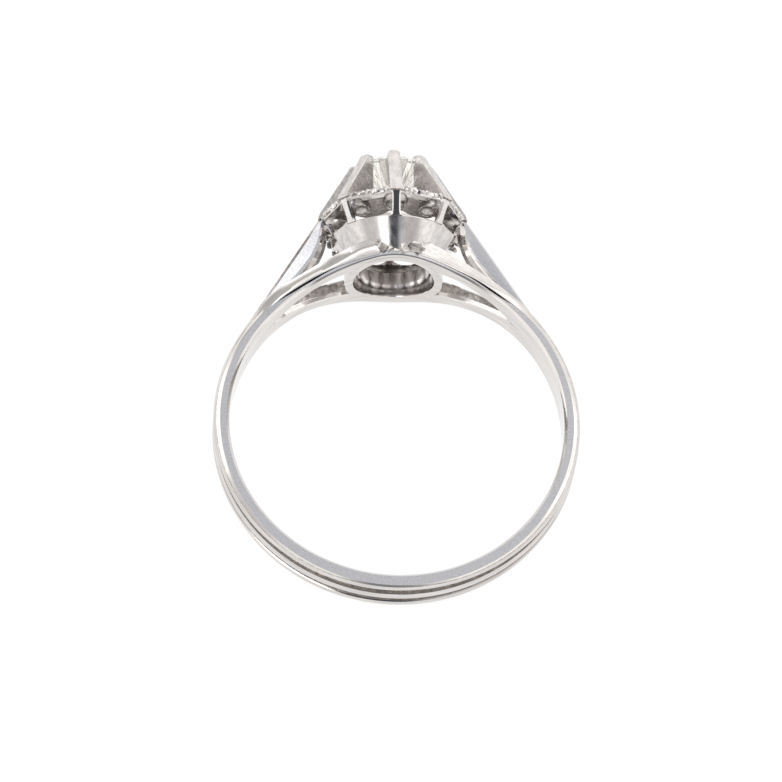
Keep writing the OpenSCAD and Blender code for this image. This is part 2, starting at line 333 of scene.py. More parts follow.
def placed(obj, *materials):
    """Gives a finished piece of the mounting its materials, in the order of their numbers, and its place."""
    for material in materials:
        obj.data.materials.append(material)
    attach(obj, "root")
    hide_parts("ring_mounting")


# Materials

def add_node(tree, kind, inputs=None, **settings):
    """Adds a node, sets its properties and fills or links its inputs."""
    node = tree.nodes.new(kind)
    for key, value in settings.items():
        setattr(node, key, value)
    for key, value in (inputs or {}).items():
        if isinstance(value, bpy.types.NodeSocket):
            tree.links.new(value, node.inputs[key])
        else:
            node.inputs[key].default_value = value
    return node


def start_material(name):
    """A material and its empty tree, or the material of that name and no tree where it is already made."""
    material = bpy.data.materials.get(name)
    if material:
        return material, None
    material = bpy.data.materials.new(name)
    material.use_nodes = True
    material.node_tree.nodes.clear()
    return material, material.node_tree


def on_lying(tree):
    """Coordinates on the lying ring, in metres."""
    return add_node(tree, "ShaderNodeTexCoord").outputs["Object"]


def on_upright(tree):
    """Coordinates on the upright ring, in metres, as three outputs."""
    turned = add_node(
        tree, "ShaderNodeMapping", {"Vector": on_lying(tree), "Rotation": (math.pi / 2 - REST_TILT, 0, 0)}
    )
    return add_node(tree, "ShaderNodeSeparateXYZ", {"Vector": turned.outputs["Vector"]}).outputs


def along_ring(tree):
    """Coordinates bent round the finger hole, and short that way, so that a pattern is drawn out round it."""
    short = 0.0004
    x, y, z = on_upright(tree)
    turn = add_node(tree, "ShaderNodeMath", {0: x, 1: z}, operation="ARCTAN2")
    reach = add_node(tree, "ShaderNodeMath", {0: turn.outputs[0], 1: short}, operation="MULTIPLY")
    flat = add_node(tree, "ShaderNodeCombineXYZ", {"X": x, "Y": z})
    out = add_node(tree, "ShaderNodeVectorMath", {0: flat.outputs[0]}, operation="LENGTH")
    return add_node(
        tree, "ShaderNodeCombineXYZ", {"X": reach.outputs[0], "Y": y, "Z": out.outputs["Value"]}
    ).outputs[0]


def up_collar(tree):
    """Coordinates that are short from the finger to the stone, so that a pattern is drawn out that way."""
    place = {"Vector": on_lying(tree), "Scale": (1, 0.12, 1)}
    return add_node(tree, "ShaderNodeMapping", place).outputs["Vector"]


def white_gold(name, bright, place, dull, grains, smoothest, roughest, dent):
    """White gold whose colour, gloss and height vary together in one noise pattern.

    Place makes the pattern's coordinates, dull is the share of the colour that worn spots keep, grains is the
    number of grains in a millimetre, and dent is the bump's strength. Real hairlines and file marks are a few
    hundredths of a millimetre wide, too fine to show, so they are drawn about a tenth wide or more.
    """
    material, tree = start_material(name)
    if tree:
        grain = add_node(
            tree, "ShaderNodeTexNoise",
            {"Vector": place(tree), "Scale": grains / MM, "Detail": 4.0, "Roughness": 0.6},
        ).outputs["Fac"]
        worn = add_node(
            tree, "ShaderNodeMapRange", {"Value": grain, "From Min": 0.38, "From Max": 0.66}
        ).outputs[0]
        colour = add_node(
            tree, "ShaderNodeMix", {"Factor": worn, 6: bright, 7: [c * dull for c in bright[:3]] + [1.0]},
            data_type="RGBA",
        )
        rough = add_node(tree, "ShaderNodeMapRange", {"Value": worn, "To Min": smoothest, "To Max": roughest})
        bump = add_node(tree, "ShaderNodeBump", {"Height": grain, "Strength": dent, "Distance": 0.02 * MM})
        shader = add_node(
            tree, "ShaderNodeBsdfPrincipled",
            {
                "Base Color": colour.outputs[2],
                "Metallic": 1.0,
                "Roughness": rough.outputs[0],
                "Normal": bump.outputs["Normal"],
            },
        )
        add_node(tree, "ShaderNodeOutputMaterial", {"Surface": shader.outputs["BSDF"]})
    return material


def polished_white_gold():
    """Rhodium-plated 18 carat white gold, buffed along the ring: a bright mirror with drawn-out hairlines."""
    colour = bpy.context.scene.ring_colours.polished
    return white_gold(
        "Polished white gold", colour, along_ring,
        dull=0.80, grains=9.0, smoothest=0.05, roughest=0.14, dent=0.06,
    )


def satin_white_gold():
    """White gold left from a fine emery stick on the flat faces: it spreads the light in a fine grain."""
    colour = bpy.context.scene.ring_colours.satin
    return white_gold(
        "Satin white gold", colour, on_lying,
        dull=0.82, grains=12.0, smoothest=0.20, roughest=0.30, dent=0.12,
    )


def brushed_white_gold():
    """White gold brushed by hand up the collar and the claws, in streaks a quarter of a millimetre apart."""
    colour = bpy.context.scene.ring_colours.brushed
    return white_gold(
        "Brushed white gold", colour, up_collar,
        dull=0.76, grains=4.2, smoothest=0.10, roughest=0.24, dent=0.08,
    )


def shaded_white_gold():
    """White gold inside the head and in the grooves, dark with painted shade: a darker copy that stands in
    for the shade there.
    """
    colour = bpy.context.scene.ring_colours.cast
    return white_gold(
        "Cast white gold", colour, on_lying,
        dull=0.50, grains=3.8, smoothest=0.22, roughest=0.45, dent=0.40,
    )


def shaded_filed_white_gold():
    """White gold left from the file on the claws' flanks, the plate's lobes and the leaves' edges: greyer
    with painted shade.
    """
    colour = bpy.context.scene.ring_colours.shaded_filed
    return white_gold(
        "Filed white gold", colour, on_lying,
        dull=0.66, grains=4.6, smoothest=0.18, roughest=0.34, dent=0.22,
    )


def painted_facet_reflections(tree):
    """The stone's colour by facet, with painted reflections: each facet a little lighter or darker than the
    next.

    The facets are wedges round the stone's axis, with a fine painted dark line between them. Rows divide them
    further on the crown, where they differ more.
    """
    wedges, wedge_line, line_level = 32, 0.22, 0.12
    row_height, row_numbers = 0.2 * MM, 40.0
    x, y, z = on_upright(tree)
    turn = add_node(tree, "ShaderNodeMath", {0: x, 1: y}, operation="ARCTAN2").outputs[0]
    share = add_node(tree, "ShaderNodeMath", {0: turn, 1: wedges / math.tau}, operation="MULTIPLY").outputs[0]
    wedge = add_node(tree, "ShaderNodeMath", {0: share}, operation="FLOOR").outputs[0]
    part = add_node(tree, "ShaderNodeMath", {0: share}, operation="FRACT").outputs[0]
    girdle = bpy.context.scene.ring_sizes.girdle_z * MM
    over = add_node(tree, "ShaderNodeMath", {0: z, 1: girdle}, operation="SUBTRACT").outputs[0]
    rows = add_node(tree, "ShaderNodeMath", {0: over, 1: row_height}, operation="DIVIDE").outputs[0]
    rows = add_node(tree, "ShaderNodeMath", {0: rows, 1: 0.0}, operation="MAXIMUM").outputs[0]
    row = add_node(tree, "ShaderNodeMath", {0: rows}, operation="CEIL").outputs[0]
    cell = add_node(tree, "ShaderNodeMath", {0: row, 1: row_numbers, 2: wedge}, operation="MULTIPLY_ADD")
    chance = add_node(tree, "ShaderNodeTexWhiteNoise", {"W": cell.outputs[0]}, noise_dimensions="1D")
    darkest = add_node(tree, "ShaderNodeMapRange", {"Value": row, "To Min": 0.70, "To Max": 0.30})
    level = add_node(
        tree, "ShaderNodeMapRange",
        {"Value": chance.outputs["Value"], "To Min": darkest.outputs[0], "To Max": 1.0},
    )
    line = add_node(tree, "ShaderNodeMapRange", {"Value": part, "From Max": wedge_line, "To Min": line_level})
    shade = add_node(tree, "ShaderNodeMath", {0: level.outputs[0], 1: line.outputs[0]}, operation="MULTIPLY")
    black, stone = linear("272727"), bpy.context.scene.ring_colours.stone
    return add_node(
        tree, "ShaderNodeMix", {"Factor": shade.outputs[0], 6: black, 7: stone}, data_type="RGBA"
    ).outputs[2]


def diamond():
    """Cut and polished diamond: clear, with a high refractive index and painted reflections: facets lighter
    or darker than each other, and fine dark lines where they meet.

    A faint glow in the facets' own colour stands for the light that a real stone throws back.
    """
    material, tree = start_material("Diamond")
    if tree:
        colour = painted_facet_reflections(tree)
        shader = add_node(
            tree, "ShaderNodeBsdfPrincipled",
            {
                "Base Color": colour,
                "Roughness": 0.0,
                "IOR": 2.417,
                "Transmission Weight": 1.0,
                "Emission Color": colour,
                "Emission Strength": 0.14,
            },
        )
        add_node(tree, "ShaderNodeOutputMaterial", {"Surface": shader.outputs["BSDF"]})
    return material


# Geometry Nodes

def start_tree(name, inputs):
    """A tree and its inputs' outputs. Each input has a name, a kind of socket and a default, or none."""
    tree = bpy.data.node_groups.new(name, "GeometryNodeTree")
    for label, kind, default in inputs:
        socket = tree.interface.new_socket(label, in_out="INPUT", socket_type="NodeSocket" + kind)
        if default is not None:
            socket.default_value = default
    tree.interface.new_socket("Geometry", in_out="OUTPUT", socket_type="NodeSocketGeometry")
    return tree, add_node(tree, "NodeGroupInput").outputs


def end_tree(tree, piece, metal, places):
    """Sets a piece on points, turned and scaled as places says, and makes the copies one real mesh."""
    pattern = add_node(tree, "GeometryNodeObjectInfo", {"Object": piece}, transform_space="ORIGINAL")
    spread = add_node(
        tree, "GeometryNodeInstanceOnPoints", {"Instance": pattern.outputs["Geometry"], **places}
    )
    real = add_node(tree, "GeometryNodeRealizeInstances", {"Geometry": spread.outputs[0]})
    finished = add_node(tree, "GeometryNodeSetMaterial", {"Geometry": real.outputs[0], "Material": metal})
    add_node(tree, "NodeGroupOutput", {"Geometry": finished.outputs[0]})
    return tree


def corner_tree(name):
    """A tree that sets a piece on each corner of the head, turned about the stone's axis."""
    tree, given = start_tree(name, (
        ("Piece", "Object", None),
        ("Corners", "Int", CORNERS),
        ("Metal", "Material", None),
    ))
    points = add_node(tree, "GeometryNodePoints", {"Count": given["Corners"]})
    index = add_node(tree, "GeometryNodeInputIndex")
    step = add_node(tree, "ShaderNodeMath", {0: math.tau, 1: given["Corners"]}, operation="DIVIDE")
    turn = add_node(tree, "ShaderNodeMath", {0: index.outputs[0], 1: step.outputs[0]}, operation="MULTIPLY")
    angles = add_node(tree, "ShaderNodeCombineXYZ", {"Z": turn.outputs[0]})
    places = {"Points": points.outputs[0], "Rotation": angles.outputs[0]}
    return end_tree(tree, given["Piece"], given["Metal"], places)


def edge_tree(name):
    """A tree that sets beads along the sides of a polygon, each turned and sized at random."""
    tree, given = start_tree(name, (
        ("Bead", "Object", None),
        ("Corners", "Int", CORNERS),
        ("Radius", "Float", 4.0),
        ("Height", "Float", 12.2),
        ("Beads a side", "Int", 6),
        ("Size", "Float", 0.25),
        ("Seed", "Int", 3),
        ("Metal", "Material", None),
    ))
    circle = add_node(
        tree, "GeometryNodeCurvePrimitiveCircle",
        {"Resolution": given["Corners"], "Radius": given["Radius"]}, mode="RADIUS",
    )
    count = add_node(
        tree, "ShaderNodeMath", {0: given["Corners"], 1: given["Beads a side"]}, operation="MULTIPLY"
    )
    points = add_node(
        tree, "GeometryNodeCurveToPoints",
        {"Curve": circle.outputs[0], "Count": count.outputs[0]}, mode="COUNT",
    )
    lift = add_node(tree, "ShaderNodeCombineXYZ", {"Z": given["Height"]})
    raised = add_node(
        tree, "GeometryNodeSetPosition", {"Geometry": points.outputs[0], "Offset": lift.outputs[0]}
    )
    turn = add_node(
        tree, "FunctionNodeRandomValue",
        {"Min": (0, 0, 0), "Max": (6.28, 6.28, 6.28), "Seed": given["Seed"]}, data_type="FLOAT_VECTOR",
    )
    size = add_node(
        tree, "FunctionNodeRandomValue",
        {"Min": (0.8, 0.8, 0.8), "Max": (1.25, 1.1, 1.1), "Seed": given["Seed"]}, data_type="FLOAT_VECTOR",
    )
    scaled = add_node(
        tree, "ShaderNodeVectorMath", {0: size.outputs[0], "Scale": given["Size"]}, operation="SCALE"
    )
    places = {"Points": raised.outputs[0], "Rotation": turn.outputs[0], "Scale": scaled.outputs[0]}
    return end_tree(tree, given["Bead"], given["Metal"], places)


def grown(name, tree, values):
    """A plain mesh from a tree, laid down. Values are set by the identifier of each named input."""
    obj = bpy.data.objects.new(name, bpy.data.meshes.new(name))
    bpy.context.scene.collection.objects.link(obj)
    modifier = obj.modifiers.new(name, "NODES")
    modifier.node_group = tree
    for socket in tree.interface.items_tree:
        if socket.item_type == "SOCKET" and socket.in_out == "INPUT":
            modifier[socket.identifier] = values[socket.name]
    applied(obj)
    obj.data.transform(LAID_DOWN)
    return obj


def at_corners(name, piece, metal):
    """The piece on all corners of the head, as one mesh. The pattern piece itself is deleted."""
    tree = bpy.data.node_groups.get("Head corners") or corner_tree("Head corners")
    obj = grown(name, tree, {"Piece": piece, "Corners": CORNERS, "Metal": metal})
    bpy.data.objects.remove(piece)
    return obj


# Pieces

def band_section(angle, y_side):
    """The section of an outer ridge and arm at a signed angle from the top, negative on the left."""
    turn = abs(angle)
    table = LEFT_BAND if angle < 0 else RIGHT_BAND
    front, seam, cut, flat_h, face_t, face_h, top_t, top_h, inner, gap, ground = looked_up(table, turn)
    cut_t = min(0.35, 4 * cut) if cut > 0.001 else 0
    across = abs(FINGER_R * math.sin(math.radians(angle)))
    if turn < 90 and across < HOLE_EDGE_R:
        gap = max(gap, math.sqrt(HOLE_EDGE_R ** 2 - across ** 2))
    inner = max(inner, gap + 0.06)
    # The finger edge is rounded most on the hoop, and the notch above the sloping face is only on the arms
    edge = min(1, max(0.4, (turn - 5) / 35))
    notch = 0.03 * min(1, max(0, (46 - turn) / 10)) if face_h > 0.4 else 0
    section = [
        (front - 0.16 * edge, 0), (front - 0.10 * edge, 0.05 * edge), (front, 0.14 * edge),
        (front, seam - cut), (front - cut_t, seam - cut * 0.6), (front, seam), (front, flat_h),
        (front - 0.38 * face_t, 0.5 * (flat_h + face_h)), (front - face_t - notch, face_h),
        (front - face_t - 0.02 - notch, face_h + 0.035), (front - top_t, top_h),
        (max(inner + 0.1, front - top_t - 0.15), top_h + 0.03), (inner + 0.03, top_h - 0.03),
        (inner, top_h - 0.1), (inner - 0.02, max(ground, 0.05)), (gap + 0.02, ground - 0.01),
        (gap, ground - 0.05), (gap, 0.05), (gap + min(0.05, gap), 0),
    ]
    return [on_ring(angle, h, y_side * y) for y, h in section]


def make_bands():
    """The front and the back band: outer ridges of the hoop that flare into the split arms."""
    right = [k * 0.5 for k in range(120)] + [60 + k for k in range(120)]
    angles = [-a for a in reversed(right[1:])] + right + [180]
    satin, cast = 1, 2
    # The cut's walls, the thin facet above the sloping face and the strand's inner wall take the white gold
    # with painted shade: dark lines and grooves where shade falls
    finishes = {2: satin, 3: cast, 4: cast, 5: satin, 8: cast, 13: cast}
    bm = bmesh.new()
    for y_side in (-1, 1):
        skin(bm, [band_section(a, y_side) for a in angles], closed=True, finishes=finishes)
    return finish_mesh(bm, "bands", sharp=18)


def make_middle_ridge():
    """The middle ridge round the hoop, up to where it leaves for the side leaves."""
    top, half = bpy.context.scene.ring_sizes.shank_t, 0.25
    start, steps, cast = 46, 180, 1
    flank = [(-half - 0.02, 0.5), (-half, top - 0.07), (-half + 0.05, top - 0.03), (-half + 0.12, top)]
    section = flank + [(-y, h) for y, h in reversed(flank)]
    angles = [start + (360 - 2 * start) * k / steps for k in range(steps + 1)]
    bm = bmesh.new()
    # The ridge's side walls take the white gold with painted shade, for the shade in the grooves beside it
    skin(bm, [[on_ring(a, h, y) for y, h in section] for a in angles], finishes={0: cast, 6: cast})
    return finish_mesh(bm, "middle_ridge", sharp=25)


def leaf_edge(outer, half, face, lean, crease, drop):
    """Half of a leaf's section, from its outer edge over the flat face to its back: depth and place along Y.

    Lean narrows the outer edge, crease is where the face bends, as a share of its width, and drop is how far
    it falls from there.
    """
    low = half - drop
    return [
        (outer, half - 0.22), (outer + 0.06, half - 0.10 - lean), (outer + 0.14, half - lean),
        (max(crease * face, outer + 0.15), half), (face, low),
        (face + 0.09, low - 0.05), (face + 0.22, low - 0.11), (face + 0.36, low - 0.26),
    ]


def make_leaves():
    """Side leaves: the middle ridge leaves the hoop and runs straight up to the plate's side corner."""
    sizes = bpy.context.scene.ring_sizes
    outer_r = FINGER_R + sizes.shank_t + 0.13
    top_x, top_z = sizes.plate_d / 2 - 0.02, sizes.plate_z + 0.1
    slope = math.atan(top_x / top_z) + math.acos(outer_r / math.hypot(top_x, top_z))
    length = math.sqrt(math.hypot(top_x, top_z) ** 2 - outer_r ** 2)
    # The leaf goes on round the hoop for its tail, and sinks into the middle ridge over its last stretch
    tail, sinking, steps = 1.6, 3.0, 60
    satin, shaded_filed = 1, 2
    bm = bmesh.new()
    for side in (-1, 1):
        rows = []
        for k in range(steps + 1):
            s = (length + tail) * k / steps
            turn = slope + max(0, s - length) / outer_r
            x = top_x + s * math.cos(slope) if s < length else outer_r * math.sin(turn)
            z = top_z - s * math.sin(slope) if s < length else outer_r * math.cos(turn)
            sunk = min(1, max(0, (s - length + (sinking - tail)) / sinking))
            sunk = sunk ** 2 * (3 - 2 * sunk)
            outer, half = 0.2 * sunk, sizes.leaf_w / 2 - 0.065 * sunk
            face = max(looked_up(LEAF_FACE, s)[0], outer + 0.16)
            full = leaf_edge(outer, half, face, 0.16 * face / 0.79, 0.8, 0.0)
            creased = leaf_edge(outer, half, face, 0.0, 0.76, 0.05 * face)
            # The full face is in front on the left leaf and at the back on the right one
            near, far = (full, creased) if side < 0 else (creased, full)
            section = [(d, -y) for d, y in near] + [(d, y) for d, y in reversed(far)]
            rows.append([
                Vector((side * (x - d * math.sin(turn)), y, z - d * math.cos(turn))) for d, y in section
            ])
        beyond_crease = 3 if side < 0 else 11
        # The leaf's outer edges and back edges take the filed white gold with painted shade
        skin(bm, rows, finishes={
            0: shaded_filed, 2: satin, beyond_crease: satin, 6: shaded_filed, 8: shaded_filed, 12: satin, 14: shaded_filed,
        })
    return finish_mesh(bm, "side_leaves", sharp=12)


def make_gallery():
    """The round ring between the arms, on the finger side of the head."""
    sizes = bpy.context.scene.ring_sizes
    hole, outer, steps = sizes.hole_d / 2, sizes.gallery_d / 2, 96
    top = sizes.collar_z + 0.1

    def on_finger(r, a, lift):
        """A point over the finger's surface, at a distance from the stone's axis."""
        x, y = r * math.cos(a), r * math.sin(a)
        return Vector((x, y, math.sqrt((FINGER_R + lift) ** 2 - x * x)))

    rows = []
    for k in range(steps):
        a = math.tau * k / steps
        rows.append([
            on_finger(hole + 0.06, a, -0.01), on_finger(outer - 0.05, a, -0.01), on_finger(outer, a, 0.04),
            round_stone(outer, a, top), round_stone(hole, a, top),
            on_finger(hole, a, 0.06), on_finger(hole + 0.02, a, 0.01),
        ])
    brushed = 1
    bm = bmesh.new()
    skin(bm, rows, closed=True, finishes={4: brushed})
    return finish_mesh(bm, "finger_gallery", sharp=30)


def collar_plan(corner, cheek, middle, side, steps=24):
    """The collar's outline, seen from above: a round front and back, and flat cheeks and sides.

    The corner is where the round front ends and the cheek is where the flat side begins. Middle and side are
    how far the outline lies from the stone's axis in front and at the side.
    """
    sag = middle - corner[1]
    radius = (corner[0] ** 2 + sag ** 2) / (2 * sag)
    half = math.asin(corner[0] / radius)
    arc = [
        (radius * math.sin(half * k / steps), middle - radius + radius * math.cos(half * k / steps))
        for k in range(steps + 1)
    ]
    quarter = arc + [cheek, (side, 0)]
    right = [(x, -y) for x, y in quarter] + [(x, y) for x, y in reversed(quarter[:-1])]
    return right + [(-x, y) for x, y in reversed(right[1:-1])]


def make_collar():
    """The plain tapered band under the plate, round in front with a flat cheek at each side."""
    sizes = bpy.context.scene.ring_sizes
    low_z, top_z = sizes.collar_z - 0.35, sizes.collar_z + sizes.collar_h
    low = collar_plan(corner=(1.86, 1.42), cheek=(2.25, 0.85), middle=2.66, side=2.3)
    top = collar_plan(corner=(2.73, 1.88), cheek=(3.2, 1.1), middle=3.27, side=3.22)
    inner = sizes.hole_d / 2 + 0.12

    def drawn_in(x, y, r, z):
        """A point of the outline moved to a distance from the stone's axis, at a height."""
        full = math.hypot(x, y)
        return Vector((x * r / full, y * r / full, z))

    rows = []
    for (x0, y0), (x1, y1) in zip(low, top):
        r1 = math.hypot(x1, y1)
        rows.append([
            Vector((x0, y0, low_z)), Vector((x1, y1, top_z - 0.12)),
            drawn_in(x1, y1, r1 - 0.03, top_z - 0.04), drawn_in(x1, y1, r1 - 0.09, top_z),
            drawn_in(x1, y1, r1 - 0.34, top_z),
            drawn_in(x0, y0, inner, top_z - 0.75), drawn_in(x0, y0, inner, low_z),
        ])
    # The inner slope down from the upper edge takes the white gold with painted shade, for the shade inside
    # the head
    cast, polished = 1, 2
    bm = bmesh.new()
    skin(bm, rows, closed=True, finishes={1: polished, 2: polished, 4: cast})
    return finish_mesh(bm, "collar", sharp=20)


def make_struts(metal):
    """Eight struts between collar and plate, flared at both ends so that the windows between are round."""
    sizes = bpy.context.scene.ring_sizes
    low, high = sizes.collar_z + sizes.collar_h - 0.05, sizes.plate_z + 0.05
    foot_r, head_r = sizes.collar_top_d / 2 - 0.16, sizes.plate_d / 2 - 0.34
    deep, foot = 0.24, 0.32
    rows = []
    for s in (0, 0.01, 0.03, 0.06, 0.1, 0.15, 0.2, 0.24, 0.32, 0.44, 0.56, 0.68, 0.8, 0.88, 0.94, 0.98, 1):
        z = low + (high - low) * s
        r = foot_r + (head_r - foot_r) * s
        half = sizes.strut_w / 2 * 0.96 + 0.10 * math.exp(-s / 0.09) + 0.09 * math.exp(-(1 - s) / 0.08)
        wing = half + 0.85 * max(0, 1 - math.sqrt(s / foot))
        back = 0.30 * min(1, s / foot)
        side = [
            (r + deep, half * 0.6), (r + deep - 0.06, half * 0.92), (r + 0.12 - back * 0.4, half),
            (r + 0.10 - back * 0.6, wing), (r - deep, wing * 0.9),
        ]
        bent = [(x - y * y / (2 * foot_r), y) for x, y in side]
        rows.append([Vector((x, -y, z)) for x, y in bent] + [Vector((x, y, z)) for x, y in reversed(bent)])
    bm = bmesh.new()
    skin(bm, rows)
    return at_corners("struts", finish_mesh(bm, "strut", laid=False), metal)


def make_lobes(metal):
    """Rounded lobes on the plate's underside, one behind each strut."""
    sizes = bpy.context.scene.ring_sizes
    half_sizes, under = (0.85, 0.66, 0.40), (sizes.plate_d / 2 - 1.15, 0, sizes.plate_z - 0.04)
    bm = bmesh.new()
    bmesh.ops.create_uvsphere(bm, u_segments=24, v_segments=12, radius=1)
    bmesh.ops.scale(bm, verts=bm.verts, vec=half_sizes)
    bmesh.ops.translate(bm, verts=bm.verts, vec=under)
    return at_corners("plate_lobes", finish_mesh(bm, "lobe", sharp=60, laid=False), metal)


def make_plate():
    """The illusion plate: eight corners, a hollowed underside and bright-cut facets round the stone."""
    sizes = bpy.context.scene.ring_sizes
    corner_r = sizes.plate_d / 2 - 0.16
    low, high = sizes.plate_z, sizes.plate_z + sizes.plate_t
    rows = []
    for k in range(2 * CORNERS):
        a = math.radians(k * 180 / CORNERS)
        if k % 2 == 0:
            r, hollow, seat, seat_drop = corner_r, 3.2, 1.95, 0.16
        else:
            r, hollow, seat, seat_drop = corner_r * math.cos(math.pi / CORNERS), 2.9, 1.75, 0.02
        profile = [
            (1.0, low + 0.06), (hollow, low + 0.06), (r - 0.35, low - 0.02), (r - 0.02, low),
            (r, low + 0.05), (r, high - 0.06), (r - 0.08, high), (r - 0.42, high - 0.08),
            (seat, high - seat_drop), (1.2, high - 0.1), (1.0, high - 0.14),
        ]
        rows.append([round_stone(d, a, z) for d, z in profile])
    # The hollowed underside takes the white gold with painted shade, for the shade under the plate
    cast = 1
    bm = bmesh.new()
    skin(bm, rows, closed=True, finishes={0: cast, 1: cast})
    return finish_mesh(bm, "illusion_plate", sharp=8)


def make_claws(metal, flank):
    """Eight three-cornered fins from the plate's corners to the stone, each with a seat for its edge."""
    sizes = bpy.context.scene.ring_sizes
    plate_r, plate_top, stone_r = sizes.plate_d / 2, sizes.plate_z + sizes.plate_t, sizes.stone_d / 2
    top, girdle = sizes.claw_top_z, sizes.girdle_z
    outline = [
        (stone_r - 0.15, plate_top - 0.15), (plate_r, sizes.plate_z + 0.10), (plate_r - 0.10, plate_top),
        (stone_r + 0.30, top - 0.20), (stone_r + 0.25, top - 0.09), (stone_r + 0.15, top - 0.02),
        (stone_r + 0.02, top), (stone_r - 0.2, top), (stone_r - 0.28, top - 0.06),
        (stone_r - 0.28, girdle + 0.28), (stone_r + 0.05, girdle + 0.05), (stone_r + 0.05, girdle - 0.05),
        (stone_r - 0.15, girdle - 0.22),
    ]
    # The tip is rounded across the claw: it falls towards both sides
    rows = []
    for side, fall in ((-1, 0.22), (-0.8, 0.08), (-0.45, 0.01), (0.45, 0.01), (0.8, 0.08), (1, 0.22)):
        rows.append([
            Vector((x, side * sizes.claw_w / 2, z - (fall if z > top - 0.25 else 0))) for x, z in outline
        ])
    bm = bmesh.new()
    skin(bm, rows)
    piece = bevelled(finish_mesh(bm, "claw", laid=False), width=0.055, segments=3, angle=25)
    claws = at_corners("claws", piece, metal)
    # The faces that look across a claw, its flanks, take the filed white gold with painted shade, darker than
    # the rest of the claw
    claws.data.materials.append(flank)
    upright = LAID_DOWN.inverted()
    step = math.tau / CORNERS
    for face in claws.data.polygons:
        centre = upright @ face.center
        turn = round(math.atan2(centre.y, centre.x) / step) * step
        across = Vector((-math.sin(turn), math.cos(turn), 0))
        if abs((upright.to_3x3() @ face.normal).normalized().dot(across)) > 0.9:
            face.material_index = len(claws.data.materials) - 1
    return claws


def nugget(bm, seed, centre, size, points):
    """A faceted lump where a graver left several bright cuts: the hull of a few seeded points."""
    rng = random.Random(seed)
    verts = []
    for _ in range(points):
        v = Vector((rng.gauss(0, 1), rng.gauss(0, 1), rng.gauss(0, 1))).normalized()
        v *= rng.uniform(0.8, 1.0)
        verts.append(bm.verts.new(Vector(centre) + Vector((v.x * size[0], v.y * size[1], v.z * size[2]))))
    hull = bmesh.ops.convex_hull(bm, input=verts)
    spare = [v for v in hull["geom_interior"] if isinstance(v, bmesh.types.BMVert)]
    bmesh.ops.delete(bm, geom=spare, context="VERTS")


def make_beads(metal):
    """The bright-cut edge of the plate: one small faceted bead, set along every side."""
    sizes = bpy.context.scene.ring_sizes
    bm = bmesh.new()
    nugget(bm, seed=4, centre=(0, 0, 0), size=(1, 1, 1), points=26)
    bead = finish_mesh(bm, "bead", sharp=28, laid=False)
    obj = grown("plate_beads", edge_tree("Bright-cut edge"), {
        "Bead": bead,
        "Corners": CORNERS,
        "Radius": sizes.plate_d / 2 - 0.20,
        "Height": sizes.plate_z + sizes.plate_t * 0.58,
        "Beads a side": 11,
        "Size": 0.21,
        "Seed": 3,
        "Metal": metal,
    })
    bpy.data.objects.remove(bead)
    return obj


def make_cuts(name, cuts):
    """Cuts and drops of solder at the collar's foot and below the plate's side corners, front and back."""
    bm = bmesh.new()
    for seed, (x, y, z), size in cuts:
        for side in (1, -1):
            nugget(bm, seed, centre=(x * side, y * side, z), size=size, points=9)
    return finish_mesh(bm, name, sharp=1)


class RING_OT_shank(Operator):
    """The hoop: its outer ridges with the split arms, and the middle ridge"""

    bl_idname = "ring.shank"
    bl_label = "Shank"

    def execute(self, context):
        polished, satin, cast = polished_white_gold(), satin_white_gold(), shaded_white_gold()
        placed(make_bands(), polished, satin, cast)
        placed(make_middle_ridge(), polished, cast)
        return {"FINISHED"}


class RING_OT_leaves(Operator):
    """The two side leaves, from the hoop up to the head"""

    bl_idname = "ring.leaves"
    bl_label = "Side leaves"

    def execute(self, context):
        placed(make_leaves(), polished_white_gold(), satin_white_gold(), shaded_filed_white_gold())
        return {"FINISHED"}


class RING_OT_gallery(Operator):
    """The round ring on the finger side of the head"""

    bl_idname = "ring.gallery"
    bl_label = "Finger gallery"

    def execute(self, context):
        placed(make_gallery(), polished_white_gold(), brushed_white_gold())
        return {"FINISHED"}


class RING_OT_collar(Operator):
    """The tapered band that the head stands on"""

    bl_idname = "ring.collar"
    bl_label = "Collar"

    def execute(self, context):
        placed(make_collar(), brushed_white_gold(), shaded_white_gold(), polished_white_gold())
        return {"FINISHED"}


class RING_OT_plate(Operator):
    """The eight-cornered plate round the stone"""

    bl_idname = "ring.plate"
    bl_label = "Illusion plate"

    def execute(self, context):
        placed(make_plate(), polished_white_gold(), shaded_white_gold())
        return {"FINISHED"}


class RING_OT_struts(Operator):
    """The struts from the collar to the plate's corners"""

    bl_idname = "ring.struts"
    bl_label = "Struts"

    def execute(self, context):
        placed(make_struts(polished_white_gold()))
        return {"FINISHED"}


class RING_OT_beads(Operator):
    """The row of beads round the plate's edge"""

    bl_idname = "ring.beads"
    bl_label = "Bright-cut edge"

    def execute(self, context):
        placed(make_beads(polished_white_gold()))
        return {"FINISHED"}


class RING_OT_cuts(Operator):
    """The bright cuts, the cuts made dark with painted shade, and the drops of solder round the collar"""

    bl_idname = "ring.cuts"
    bl_label = "Cuts"

    def execute(self, context):
        placed(make_cuts("bright_cuts", BRIGHT_CUTS), polished_white_gold())
        placed(make_cuts("dark_cuts", SHADED_CUTS), shaded_white_gold())
        return {"FINISHED"}


class RING_OT_claws(Operator):
    """The claws that hold the stone"""

    bl_idname = "ring.claws"
    bl_label = "Claws"

    def execute(self, context):
        placed(make_claws(brushed_white_gold(), shaded_filed_white_gold()))
        return {"FINISHED"}


class RING_OT_lobes(Operator):
    """The rounded lobes on the plate's underside"""

    bl_idname = "ring.lobes"
    bl_label = "Plate lobes"

    def execute(self, context):
        # The lobes take the filed white gold with painted shade
        placed(make_lobes(shaded_filed_white_gold()))
        return {"FINISHED"}


class RING_OT_stone(Operator):
    """The round brilliant, which keeps the frame's mesh and gets its material"""

    bl_idname = "ring.stone"
    bl_label = "Stone"

    def execute(self, context):
        stone = frame["nodes"]["diamond"]
        stone.data.materials.clear()
        stone.data.materials.append(diamond())
        return {"FINISHED"}


# Stage

